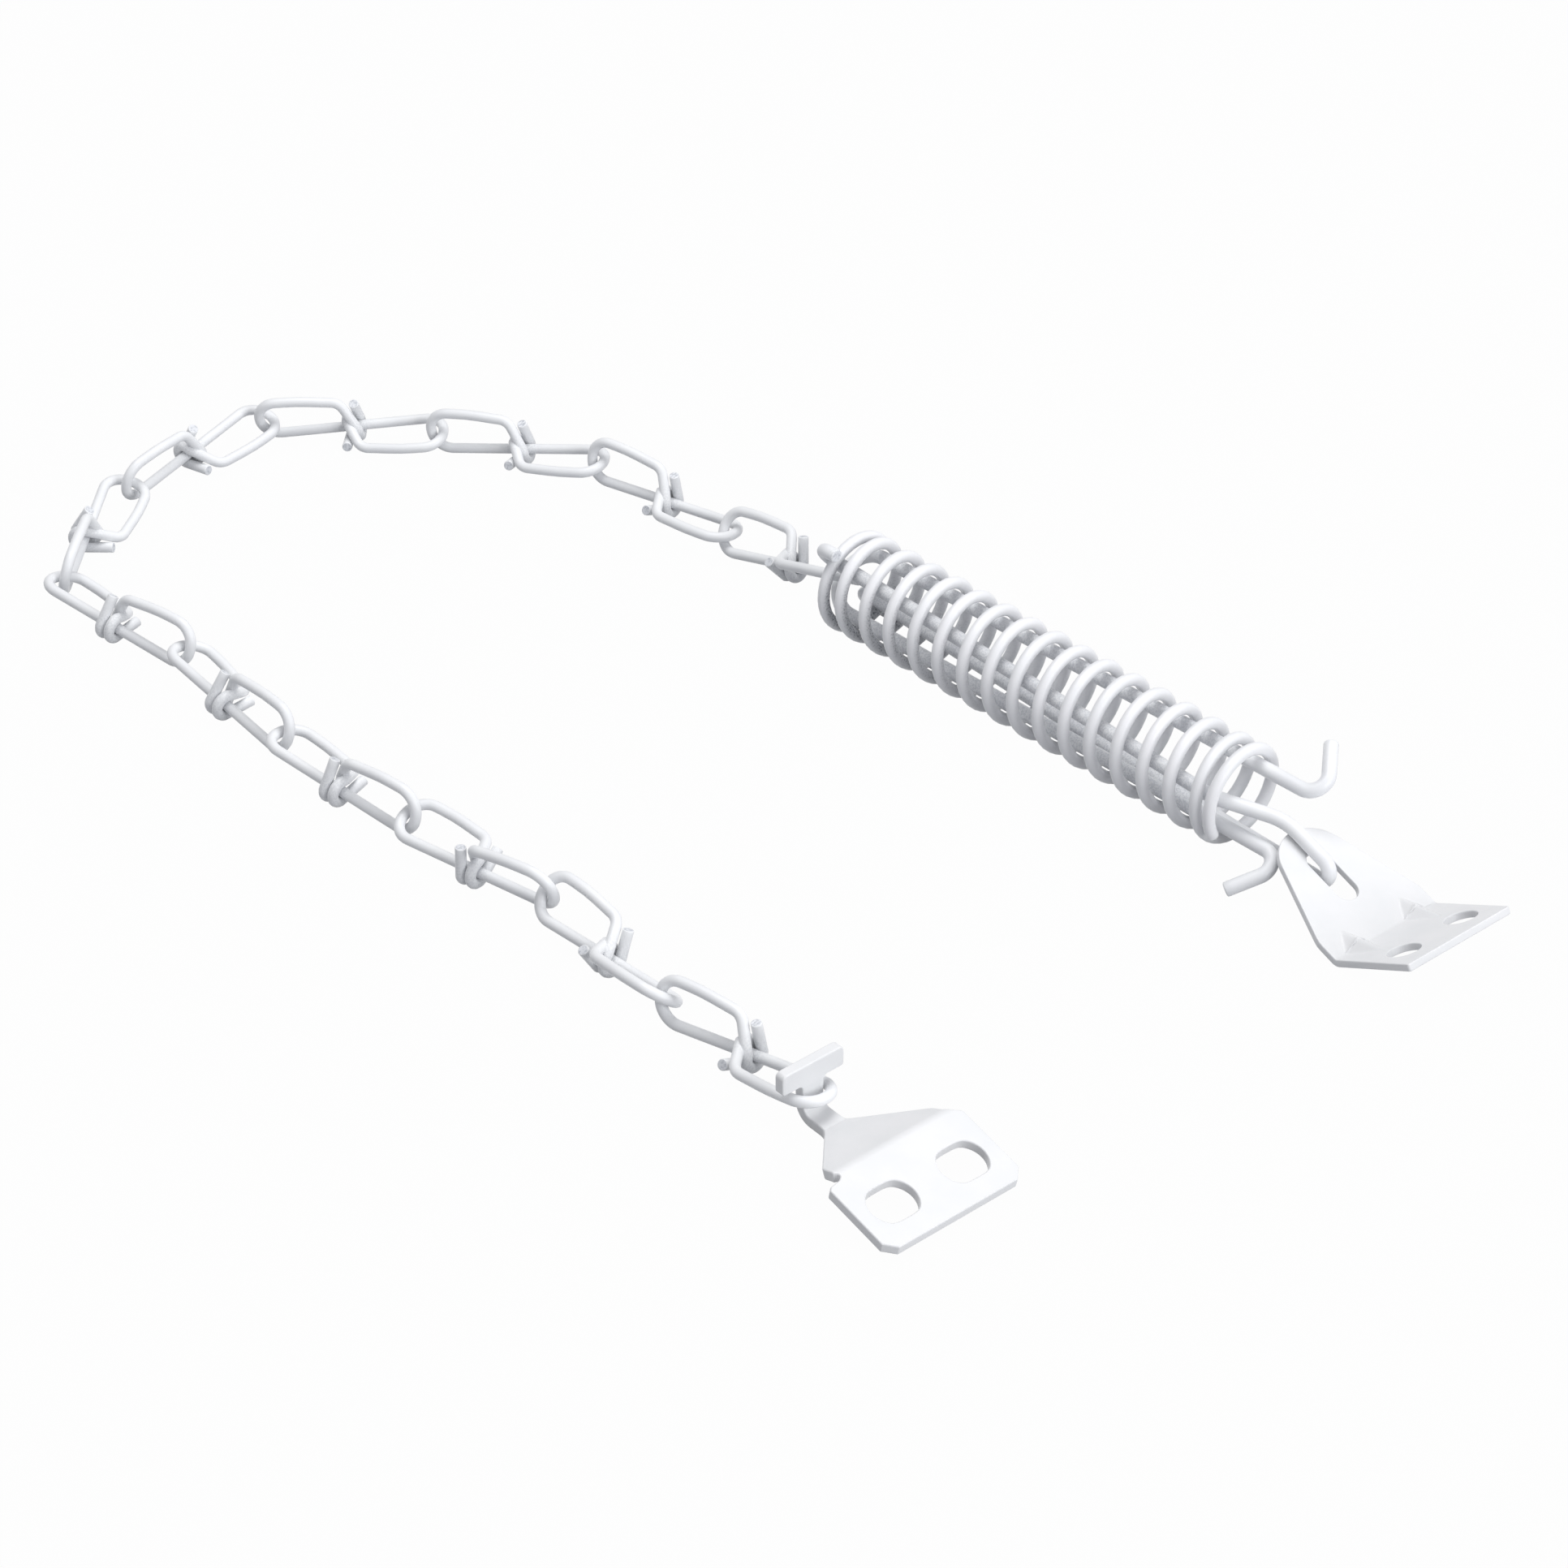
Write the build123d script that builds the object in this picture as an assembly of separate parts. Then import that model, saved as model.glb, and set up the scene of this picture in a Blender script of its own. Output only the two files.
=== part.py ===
from build123d import *
import math
import os

os.makedirs("parts", exist_ok=True)

# Storm door chain stop, lying on a flat surface: a compression spring on two hooked drawbars,
# a jamb bracket at one end, and a chain of twelve wire links that leads back to a door bracket.
# Millimetres and degrees. X runs along the spring towards the jamb bracket, Z is up.

# round wire
chain_wire = 2.03
spring_wire = 2.3
drawbar_wire = 2.7
wire_sides = 8            # flats round a chain or drawbar wire
bend_step = 30.0          # turn of one short chord of a bent wire
hang_gap = 0.3            # between a wire and the wire that hangs on it
floor_gap = 0.03

# chain link: two loops at right angles, each wrapped round the other's straight arm
loop_length = 18.55       # from the knot's middle to the centre line of the loop's end
loop_width = 8.4          # centre to centre at the loop's end
knot_width = 6.6          # the same beside the knot
knot_reach = 1.8          # from the knot's middle to the corner beside it
end_bend = 3.6            # centre line radius of the loop's end corners
knot_bend = 2.4
wrap_gap = 0.12           # between the two wraps, and between a wrap and the arm in it
stub_height = 5.9         # top of the sheared end above the arm
stub_lean = 2.0           # how far the sheared end leans back over the arm

# compression spring
coil_radius = 8.93        # to the middle of the wire
coil_turns = 16.5
coil_pitch = 6.3
end_pitch = 2.0           # pitch of the closed end turns
end_turns = 0.5
ramp_turns = 0.65         # over which the pitch opens
coil_start = 30.0         # where the wire begins, seen along X
coil_sides = 6
half_turns = 2            # arc pairs in a turn

# drawbar that is fixed to the jamb bracket
inner_hook_plane = 127.0  # direction of its hooks round the spring's axis
hairpin_gap = 2.0         # clear space between the two legs at the bracket
hook_tail = 1.8           # straight end of a hook over the first turn
hairpin_reach = 21.1      # from the spring's bracket end to the hairpin's nose
hairpin_side = 0.55       # the hairpin lies this far off the slot's middle
hairpin_tail = 1.5        # legs stay parallel to the plate until this far past its tip
leg_gap = 0.3             # from the legs to the inside of the spring
leg_bend = 12.0
leg_lean = 163.0          # where the upper leg leaves the spring, round its axis
foot_lean = 255.0         # the same for the lower leg

# drawbar that carries the chain
chain_leg_plane = 45.0    # direction of its legs round the spring's axis
chain_loop_out = 3.0      # its loop stands out of the spring's chain end
hook_overhang = 15.0      # from the spring's bracket end to its hooks
hook_way = 29.0           # direction of its hooks, seen along X
hook_length = 10.0
hook_back = 7.0           # tips lie this far back towards the spring
hook_bend = 3.0

# jamb bracket
jamb_sheet = 1.4
jamb_width = 25.0
jamb_plate = 24.8         # bend to rounded tip
jamb_plate_rise = 19.3
jamb_flange = 18.2
jamb_flange_rise = 27.9
jamb_bend = 1.6           # middle of the sheet
jamb_tip_radius = 7.3
jamb_corner = 5.0         # where the plate begins to taper
flange_corner = 0.5
jamb_shoulder = 4.5       # the plate tapers from here
jamb_slot_width = 4.6
jamb_slot_length = 11.5
jamb_slot_centre = 14.0   # from the bend
jamb_hole = 6.0
jamb_hole_spacing = 14.0
jamb_hole_centre = 11.7   # from the bend
jamb_heading = -3.3       # it lies turned a little on the floor
jamb_side = -1.7          # and off the spring's axis
hairpin_seat = 14.3       # bend to the hairpin's nose in the slot
dart_width = 2.6
dart_length = 5.2         # along each side of the bend
dart_spacing = 14.4

# door bracket
door_sheet = 2.0
door_width = 29.0
door_base = 16.2
door_base_fall = 13.0
door_arm = 12.6
door_arm_rise = 20.0
door_bend = 2.2
door_chamfer = 2.0
door_slot_width = 6.9
door_slot_length = 9.3
door_slot_spacing = 14.8
door_slot_centre = 7.6    # from the front edge
door_notch = 1.0          # radius of the relief beside the bend
door_shoulder = 2.0       # side of the arm that stays straight after the bend
arm_width = 23.4
neck_width = 4.2
neck_flat = 3.6
neck_bend = 2.6
neck_post = 4.0
tee_width = 13.0
tee_height = 4.0
tee_corner = 1.0
door_heading = -3.3       # direction of the bracket from neck to front edge
neck_wire_seat = 0.9      # last link's end wire from the start of the neck's curl

# how the chain lies: heading and roll of each link, and how far above the middle of the
# loop before it hangs
lay = [(187, -32, 0), (192, -8, -0.6), (211, 4, -0.6), (224, 14, -0.6), (279, 14, -0.6),
       (309, 14, -0.6), (10, 14, -0.6), (-2, 14, -0.6), (7, 6, -0.6), (11, -18, -0.6),
       (2, -50, -0.6), (10, -80, 0)]


def spot(place, x, y, z):
    """a point of a placed frame"""
    return (place * Pos(x, y, z)).position


def rounded(points, radii):
    """the corners of a bent wire opened into short chords"""
    path = [points[0]]
    for before, corner, after, radius in zip(points, points[1:], points[2:], radii):
        back = (before - corner).normalized()
        ahead = (after - corner).normalized()
        turn = 180 - back.get_angle(ahead)
        centre_line = (back + ahead).normalized()
        centre = corner + centre_line * (radius / math.cos(math.radians(turn / 2)))
        start = corner + back * (radius * math.tan(math.radians(turn / 2))) - centre
        steps = max(2, math.ceil(turn / bend_step))
        for i in range(steps + 1):
            a = math.radians(turn * i / steps)
            path.append(centre + start * math.cos(a) - back * (radius * math.sin(a)))
    return path + [points[-1]]


def bent_wire(points, diameter):
    """round wire with flats, mitred at every chord"""
    start = Plane(origin=points[0], z_dir=points[1] - points[0])
    section = start * RegularPolygon(diameter / 2, wire_sides)
    return sweep(section, path=Polyline(*points), transition=Transition.RIGHT)


# one chain link: the second loop stands up in Z, the first lies out in Y
wrap_radius = chain_wire + wrap_gap
wrap_place = wrap_radius / 2


def loop_points():
    """from the knot's middle out round the standing loop and down into its wrap"""
    corners = [
        Vector(0, 0, 0),
        Vector(loop_length, 0, 0),
        Vector(loop_length, 0, loop_width),
        Vector(knot_reach, 0, knot_width),
        Vector(-wrap_place, wrap_radius, chain_wire / 2),
    ]
    path = rounded(corners, [end_bend, end_bend, knot_bend])
    steps = math.ceil(180 / bend_step)
    for i in range(steps + 1):
        a = math.radians(-180 * i / steps)
        path.append(Vector(-wrap_place, wrap_radius * math.cos(a), wrap_radius * math.sin(a)))
    path.append(Vector(-wrap_place, stub_lean - wrap_radius, stub_height))
    return path


standing = loop_points()
lying = [Vector(-p.X, p.Z, p.Y) for p in standing]
link = bent_wire(lying[:0:-1] + standing[1:], chain_wire)

# spring: one unbroken wire, its pitch closed at both ends
turn_total = coil_turns


def advance(turns):
    """distance along the axis after some turns from an end"""
    opened = max(0.0, min(turns, end_turns + ramp_turns) - end_turns)
    past = max(0.0, turns - end_turns - ramp_turns)
    extra = opened ** 2 / (2 * ramp_turns) + past
    return end_pitch * turns + (coil_pitch - end_pitch) * extra


coil_half = advance(turn_total / 2)
coil_length = 2 * coil_half
leg_radius = coil_radius - spring_wire / 2 - drawbar_wire / 2 - leg_gap
hook_radius = coil_radius - leg_radius
hook_drop = (coil_radius + hook_radius) * math.sin(math.radians(inner_hook_plane))
axis_height = hook_drop + drawbar_wire / 2 + floor_gap


def coil_point(turns):
    """the wire's centre line"""
    if turns < turn_total / 2:
        x = advance(turns)
    else:
        x = coil_length - advance(turn_total - turns)
    a = math.radians(coil_start + 360 * turns)
    return Vector(x, coil_radius * math.cos(a), axis_height + coil_radius * math.sin(a))


def coil_heading(turns):
    step = 0.0001
    ahead = coil_point(min(turns + step, turn_total))
    return (ahead - coil_point(max(turns - step, 0))).normalized()


def arc_pair(start, start_way, end, end_way):
    """two tangent arcs that meet between the ends"""
    span = end - start
    ways = start_way + end_way
    rest = 4 - ways.dot(ways)
    reach = span.dot(ways)
    arm = (math.sqrt(reach ** 2 + rest * span.dot(span)) - reach) / rest
    middle = (start + start_way * arm + end - end_way * arm) * 0.5
    first = TangentArc(start, middle, tangent=start_way)
    return [first, TangentArc(middle, end, tangent=first % 1)]


coil_arcs = []
pairs = round(turn_total * half_turns)
for i in range(pairs):
    low = turn_total * i / pairs
    high = turn_total * (i + 1) / pairs
    coil_arcs += arc_pair(coil_point(low), coil_heading(low), coil_point(high), coil_heading(high))
coil_section = Plane(origin=coil_point(0), z_dir=coil_heading(0))
spring = sweep(coil_section * RegularPolygon(spring_wire / 2, coil_sides), path=Wire(coil_arcs))

# least gap between one turn and the next, measured on points of the centre line
samples = [coil_point(turn_total * i / 1600) for i in range(1601)]
skip = round(0.6 * 1600 / turn_total)
nearest = min(
    (samples[i] - samples[j]).length
    for i in range(0, 1601, 2)
    for j in range(i + skip, min(i + 2 * skip, 1601), 2)
)
print("spring: least gap between turns", round(nearest - spring_wire, 3), "mm")


def ring(x, radius, direction, height=0.0):
    """a point round the spring's axis"""
    a = math.radians(direction)
    return Vector(x, radius * math.cos(a), axis_height + height + radius * math.sin(a))


# sheet metal, drawn from one place to the next
def flat(place, outline, sheet):
    """a flat part of a sheet, its outline in the placed XY plane"""
    return place * extrude(outline, amount=sheet / 2, both=True)


def bend_piece(place, radius, turn, width, sheet):
    """a bend, up where the turn is above 0, and the place after it"""
    side = math.copysign(1, turn)
    axis = Axis((0, 0, side * radius), (0, -side, 0))
    piece = revolve(Plane.YZ * Rectangle(width, sheet), axis=axis, revolution_arc=abs(turn))
    after = Pos(0, 0, side * radius) * Rot(0, -turn, 0) * Pos(0, 0, -side * radius)
    return place * piece, place * after


def leg_frame(place, radius, turn):
    """after a bend, measured along the sheet from where the bend began"""
    return place * Pos(-radius * math.radians(abs(turn)), 0, 0)


# jamb bracket: two sides of one bend, standing on the bend
hairpin_radius = (drawbar_wire + hairpin_gap) / 2
plate_way = math.radians(jamb_plate_rise)
nose_x = coil_length + hairpin_reach
jamb_x = nose_x + hairpin_seat * math.cos(plate_way)
jamb_place = Pos(jamb_x, jamb_side, jamb_sheet / 2) * Rot(0, 0, jamb_heading)

flange_bend, flange_place = bend_piece(jamb_place, jamb_bend, jamb_flange_rise, jamb_width, jamb_sheet)
plate_bend, plate_place = bend_piece(jamb_place * Rot(0, 0, 180), jamb_bend, jamb_plate_rise,
                                     jamb_width, jamb_sheet)
flange_place = leg_frame(flange_place, jamb_bend, jamb_flange_rise)
plate_place = leg_frame(plate_place, jamb_bend, jamb_plate_rise)

plate_foot = jamb_bend * plate_way
shoulder = Pos((plate_foot + jamb_shoulder) / 2, 0) * Rectangle(jamb_shoulder - plate_foot, jamb_width)
tip = Pos(jamb_plate - jamb_tip_radius, 0) * Circle(jamb_tip_radius)
plate_outline = make_hull(shoulder.edges() + tip.edges())
plate_outline = fillet(plate_outline.vertices().filter_by_position(
    Axis.X, jamb_shoulder - 0.01, jamb_shoulder + 0.01), jamb_corner)
plate_outline -= Pos(jamb_slot_centre, 0) * SlotOverall(jamb_slot_length, jamb_slot_width)

flange_foot = jamb_bend * math.radians(jamb_flange_rise)
flange_outline = Pos((flange_foot + jamb_flange) / 2, 0) * Rectangle(jamb_flange - flange_foot, jamb_width)
flange_outline = fillet(flange_outline.vertices().group_by(Axis.X)[-1], flange_corner)
for side in (-1, 1):
    flange_outline -= Pos(jamb_hole_centre, side * jamb_hole_spacing / 2) * Circle(jamb_hole / 2)

jamb_bracket = flat(plate_place, plate_outline, jamb_sheet) + plate_bend + flange_bend
jamb_bracket += flat(flange_place, flange_outline, jamb_sheet)
for side in (-1, 1):
    middle = side * dart_spacing / 2
    toe = spot(plate_place, dart_length, -middle, 0)
    heel = spot(flange_place, dart_length, middle, 0)
    left = spot(jamb_place, 0, middle - dart_width, 0)
    right = spot(jamb_place, 0, middle + dart_width, 0)
    sides = [(toe, heel, left), (toe, right, heel), (toe, left, right), (heel, right, left)]
    dart = Solid(Shell([Face(Wire.make_polygon(corners)) for corners in sides]))
    jamb_bracket += dart

# drawbar fixed to the jamb bracket: hook, leg, hairpin through the slot, leg, hook
hook_x = coil_point((inner_hook_plane - coil_start) / 360).X


def inner_hook(direction):
    """from the sheared tip round the spring's first turn to the start of the leg"""
    path = [ring(hook_x + hook_tail, coil_radius + hook_radius, direction)]
    steps = math.ceil(180 / bend_step)
    for i in range(steps + 1):
        a = math.radians(180 * i / steps)
        out = coil_radius + hook_radius * math.cos(a)
        path.append(ring(hook_x - hook_radius * math.sin(a), out, direction))
    return path


def on_plate(past, height):
    """a point of the hairpin's plane beside the bracket's plate"""
    return spot(plate_place, past, hairpin_side, height)


nose = []
nose_steps = math.ceil(180 / bend_step)
for i in range(nose_steps + 1):
    a = math.radians(90 - 180 * i / nose_steps)
    nose.append(on_plate(hairpin_seat + hairpin_radius * (1 - math.cos(a)), hairpin_radius * math.sin(a)))
upper_leg = rounded([
    inner_hook(inner_hook_plane)[-1],
    ring(coil_length - spring_wire, leg_radius, leg_lean),
    on_plate(jamb_plate + hairpin_tail, hairpin_radius),
    nose[0],
], [leg_bend, leg_bend])
lower_leg = rounded([
    inner_hook(inner_hook_plane + 180)[-1],
    ring(coil_length - spring_wire, leg_radius, foot_lean),
    nose[-1],
], [leg_bend])
bracket_side_path = (inner_hook(inner_hook_plane) + upper_leg[1:-1] + nose
                     + lower_leg[-2:0:-1] + inner_hook(inner_hook_plane + 180)[::-1])
drawbar_bracket_side = bent_wire(bracket_side_path, drawbar_wire)

# drawbar that carries the chain: hook, leg, loop at the spring's mouth, leg, hook
hook_turn_x = coil_length + hook_overhang


def chain_hook(side):
    """from the sheared tip to the corner of the leg"""
    corner = ring(hook_turn_x, side * leg_radius, chain_leg_plane)
    a = math.radians(hook_way)
    out = Vector(-hook_back, side * hook_length * math.cos(a), side * hook_length * math.sin(a))
    return [corner + out, corner]


mouth_loop = []
loop_steps = math.ceil(180 / bend_step)
for i in range(loop_steps + 1):
    a = math.radians(180 * i / loop_steps)
    mouth_loop.append(ring(leg_radius - chain_loop_out - leg_radius * math.sin(a),
                                leg_radius * math.cos(a), chain_leg_plane))
near_side = rounded(chain_hook(1) + [mouth_loop[0]], [hook_bend])
far_side = rounded(chain_hook(-1) + [mouth_loop[-1]], [hook_bend])
chain_side_path = near_side[:-1] + mouth_loop + far_side[-2::-1]
drawbar_chain_side = bent_wire(chain_side_path, drawbar_wire)

# the chain, link by link from the drawbar's loop, each lying on the floor
wrap_rest = wrap_radius + chain_wire / 2 + floor_gap


def lay_chain(lay):
    """place of each link, hung on the one before and let down to the floor"""
    middle = ring(-chain_loop_out, 0, 0)
    anchor_way = ring(-chain_loop_out, 1, chain_leg_plane) - middle
    reach = (chain_wire + drawbar_wire) / 2 + hang_gap
    places = []
    for number, (heading, roll, rise) in enumerate(lay):
        anchor = middle + anchor_way * rise
        last = number == len(lay) - 1
        end_rest = (door_sheet + hang_gap if last else floor_gap) + chain_wire / 2
        pitch = 0.0
        for _ in range(6):
            turned = Rot(0, 0, heading) * Rot(0, pitch, 0) * Rot(-roll, 0, 0)
            normal = anchor_way.cross(spot(turned, 0, 1, 0)).normalized()
            normal *= math.copysign(1, normal.dot(spot(turned, 1, 0, 0)))
            centre = anchor - normal * reach - spot(turned, -loop_length, loop_width / 2, 0)
            knot_over = (centre.Z - wrap_rest) / loop_length
            end_over = (centre.Z + spot(turned, loop_length, 0, 0).Z - end_rest) / (2 * loop_length)
            pitch += math.degrees(math.asin(max(-0.9, min(0.9, knot_over, end_over))))
        place = Pos(centre) * turned
        places.append(place)
        middle = spot(place, loop_length, 0, loop_width / 2)
        anchor_way = spot(place, loop_length, 0, loop_width / 2 + 1) - middle
        reach = chain_wire + hang_gap
    return places


places = lay_chain(lay)

# door bracket, from the neck's curl one way to the tee and the other way to the base
last_wire = spot(places[-1], loop_length, 0, loop_width / 2)
inside = spot(places[-1], loop_length - neck_wire_seat - neck_bend / 2, 0, loop_width / 2)
curl_place = (Pos(last_wire.X - neck_wire_seat, inside.Y, door_sheet / 2)
              * Rot(0, 0, door_heading))

curl, post_place = bend_piece(curl_place * Rot(0, 0, 180), neck_bend, 90, neck_width, door_sheet)
post_outline = Pos(neck_post / 2, 0) * Rectangle(neck_post, neck_width)
tee_outline = Pos(neck_post + tee_height / 2, 0) * RectangleRounded(tee_height, tee_width, tee_corner)
door_bracket = curl + flat(post_place, post_outline + tee_outline, door_sheet)

neck_outline = Pos(neck_flat / 2, 0) * Rectangle(neck_flat, neck_width)
door_bracket += flat(curl_place, neck_outline, door_sheet)
rise, arm_place = bend_piece(curl_place * Pos(neck_flat, 0, 0), door_bend, door_arm_rise, neck_width, door_sheet)
arm_outline = make_face(Polyline(
    (0, -neck_width / 2), (door_arm - door_shoulder, -arm_width / 2), (door_arm, -arm_width / 2),
    (door_arm, arm_width / 2), (door_arm - door_shoulder, arm_width / 2), (0, neck_width / 2),
    close=True))
door_bracket += rise + flat(arm_place, arm_outline, door_sheet)
fold_turn = -(door_arm_rise + door_base_fall)
fold, base_place = bend_piece(arm_place * Pos(door_arm, 0, 0), door_bend, fold_turn, arm_width, door_sheet)
base_outline = Pos(door_base / 2, 0) * Rectangle(door_base, door_width)
base_outline = chamfer(base_outline.vertices(), door_chamfer)
for side in (-1, 1):
    base_outline -= Pos(door_base - door_slot_centre, side * door_slot_spacing / 2) * SlotOverall(
        door_slot_length, door_slot_width, rotation=90)
    base_outline -= Pos(0, side * arm_width / 2) * Circle(door_notch)
door_bracket += fold + flat(base_place, base_outline, door_sheet)

# every piece in one frame, its origin under the middle of the whole
pieces = {
    "spring": spring,
    "drawbar_bracket_side": drawbar_bracket_side,
    "drawbar_chain_side": drawbar_chain_side,
    "jamb_bracket": jamb_bracket,
    "door_bracket": door_bracket,
}
for number, place in enumerate(places, 1):
    pieces[f"link_{number}"] = place * link
boxes = [piece.bounding_box() for piece in pieces.values()]
low = [min(tuple(box.min)[i] for box in boxes) for i in range(3)]
high = [max(tuple(box.max)[i] for box in boxes) for i in range(3)]
shift = Pos(-(low[0] + high[0]) / 2, -(low[1] + high[1]) / 2, -low[2])
for name, piece in pieces.items():
    export_step(shift * piece, f"parts/{name}.step")
print("origin moved by", [round(v, 3) for v in tuple(shift.position)])
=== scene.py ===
# Storm door chain stop, lying loose on a pale floor: a compression spring on two hooked drawbars,
# a jamb bracket, twelve wrapped wire links and a door bracket, all coated in gloss white powder.
import math

import bmesh
import bpy
from mathutils import Matrix, Vector


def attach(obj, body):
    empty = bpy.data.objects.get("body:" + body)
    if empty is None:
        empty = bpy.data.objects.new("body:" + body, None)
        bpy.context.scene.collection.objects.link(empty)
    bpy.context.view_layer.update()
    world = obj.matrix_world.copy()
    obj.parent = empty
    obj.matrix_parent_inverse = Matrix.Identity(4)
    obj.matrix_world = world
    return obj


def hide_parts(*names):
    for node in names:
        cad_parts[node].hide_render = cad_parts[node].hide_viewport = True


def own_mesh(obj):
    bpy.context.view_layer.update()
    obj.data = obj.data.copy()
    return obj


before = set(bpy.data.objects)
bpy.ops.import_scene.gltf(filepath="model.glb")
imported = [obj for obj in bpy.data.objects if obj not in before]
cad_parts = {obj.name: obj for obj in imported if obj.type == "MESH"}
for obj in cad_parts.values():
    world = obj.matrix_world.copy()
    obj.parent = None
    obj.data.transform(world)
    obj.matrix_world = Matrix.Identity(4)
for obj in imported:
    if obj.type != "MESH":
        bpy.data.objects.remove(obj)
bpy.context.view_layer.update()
scene = bpy.context.scene
scene.view_settings.view_transform = "Standard"
MM = 0.001

# Sizes in millimetres and degrees, along a row whose X starts at the spring's chain end.
# ROW is where that point lies in the part's own frame.
ROW = Vector((-6.052, 54.141, 0.103))

# the photograph's camera, solved from the picture: eye in the row, heading from above, tilt down
EYE = Vector((487.2, -484.0, 451.3))
HEADING = Vector((-0.723, 0.691, 0))
TILT = 35.376
LENS = 99.7
SENSOR = 36.0

CHAIN_WIRE = 2.03
SPRING_WIRE = 2.3
DRAWBAR_WIRE = 2.7
HANG_GAP = 0.3            # play between two hooked wires
FLOOR_GAP = 0.03
BEND_STEP = 7.5           # degrees between the points of a bend
SAME_POINT = 0.01         # points of a wire nearer than this are one
# size of the rolled edge round the sheared ends of each wire, and along each sheet
CHAIN_EDGE = 0.14
SPRING_EDGE = 0.16
DRAWBAR_EDGE = 0.3
JAMB_EDGE = 0.22
DOOR_EDGE = 0.3
# rings of a wire's rolled edge: way in from the end and step back from the full radius, in edge sizes
EDGE_RINGS = ((0, 1), (0.3, 0.3), (1, 0))
# distance between a wire's rings on its straight runs
CHAIN_SPACING = 1.2
DRAWBAR_SPACING = 1.5

# one link
LOOP_LENGTH = 18.55
LOOP_WIDTH = 8.4
KNOT_WIDTH = 6.6          # width of the loop where it leaves the knot
KNOT_REACH = 1.8
END_BEND = 3.9
KNOT_BEND = 3.0
ARM_BOW = 0.55            # the loop's outer arm stands out this far at its middle
ARM_BOW_BEND = 40.0       # bend radius there
WRAP_GAP = 0.12           # between the wrapping wire and the wrapped one
STUB_HEIGHT = 5.9
STUB_LEAN = 2.0
WRAP_RADIUS = CHAIN_WIRE + WRAP_GAP
# each link's heading and roll, and how far from the middle of its anchor wire it hangs
LAY = [(187, -32, 0), (192, -8, -0.6), (211, 4, -0.6), (224, 14, -0.6), (279, 14, -0.6),
       (309, 14, -0.6), (10, 14, -0.6), (-2, 14, -0.6), (7, 6, -0.6), (11, -18, -0.6),
       (2, -50, -0.6), (10, -80, 0)]
LAY_ROUNDS = 6            # each link's tilt is settled in this many rounds
LAY_STEEPEST = 0.9        # sine of the largest tilt that one round may add

# the spring, whose first and last turns lie close and then open over a ramp
COIL_RADIUS = 8.93
COIL_TURNS = 16.5
COIL_PITCH = 6.3
END_PITCH = 2.0
END_TURNS = 0.5
RAMP_TURNS = 0.65
COIL_START = 30.0         # direction round the axis, as all directions of hooks and legs
STEPS_A_TURN = 36

# the bracket drawbar: hooks at the spring's chain end, legs, and a hairpin in the jamb bracket's slot
HOOK_PLANE = 127.0
HOOK_TAIL = 1.8
HAIRPIN_GAP = 2.0
HAIRPIN_REACH = 21.1      # from the spring's end to the hairpin's nose
HAIRPIN_SIDE = 0.55       # how far beside the slot's middle line it lies
HAIRPIN_SEAT = 14.3       # from the jamb bracket's bend to its nose
HAIRPIN_TAIL = 1.5        # its upper leg is bent this far past the plate's tip
PLATE_BEYOND = 5.0        # the plate's line goes on this far past its tip, for the hairpin's leg
LEG_GAP = 0.3
LEG_BEND = 12.0
LEG_LEAN = 163.0          # where the upper and the lower leg leave the spring
FOOT_LEAN = 255.0

# the chain drawbar: a loop at the spring's chain end, legs, and hooks past its bracket end
CHAIN_LEG_PLANE = 45.0
CHAIN_LOOP_OUT = 3.0
HOOK_OVERHANG = 15.0
HOOK_WAY = 29.0
HOOK_LENGTH = 10.0
HOOK_BACK = 7.0
HOOK_BEND = 3.0

# the jamb bracket, from its bend: a plate with a rounded tip one way, a screw flange the other
JAMB_SHEET = 1.4
JAMB_WIDTH = 25.0
JAMB_PLATE = 24.8
JAMB_PLATE_RISE = 19.3
JAMB_FLANGE = 18.2
JAMB_FLANGE_RISE = 27.9
JAMB_BEND = 1.6
JAMB_TIP = 7.3
JAMB_CORNER = 5.0
FLANGE_CORNER = 0.5
JAMB_SHOULDER = 4.5
JAMB_SLOT = (11.5, 4.6)   # length and width
JAMB_SLOT_AT = 14.0       # from the bend to its middle
JAMB_HOLE = 6.0
JAMB_HOLES_APART = 14.0
JAMB_HOLE_AT = 11.7       # from the bend to their middles
JAMB_HEADING = -3.3
JAMB_SIDE = -1.7
DART_HALF = 2.6           # half width at the bend
DART_HEIGHT = 2.2
DART_PLATE = 4.3          # length up the plate
DART_FLANGE = 6.8         # length up the flange
DART_SOFT = 0.25          # rounding of its ridge
DARTS_APART = 14.4

# the door bracket: tee, neck, spreading arm and base
DOOR_SHEET = 2.0
DOOR_WIDTH = 29.0
DOOR_BASE = 16.2
DOOR_BASE_FALL = 13.0
DOOR_ARM = 12.6
DOOR_ARM_RISE = 20.0
DOOR_BEND = 2.2
DOOR_CHAMFER = 2.0
DOOR_CHAMFER_EASE = 0.4
DOOR_SLOT = (8.7, 7.3)    # diameter, and width between the flats
DOOR_SLOTS_APART = 14.8
DOOR_SLOT_AT = 7.6        # from the base's rear edge
DOOR_SHOULDER = 2.0
SHOULDER_BEND = 1.2
# the far side has no relief: the arm's side runs out into the base's
PLAIN_RISE = 0.4
PLAIN_BEND = 1.0
PLAIN_RUN = 0.6
PLAIN_CORNER = 0.5
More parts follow.
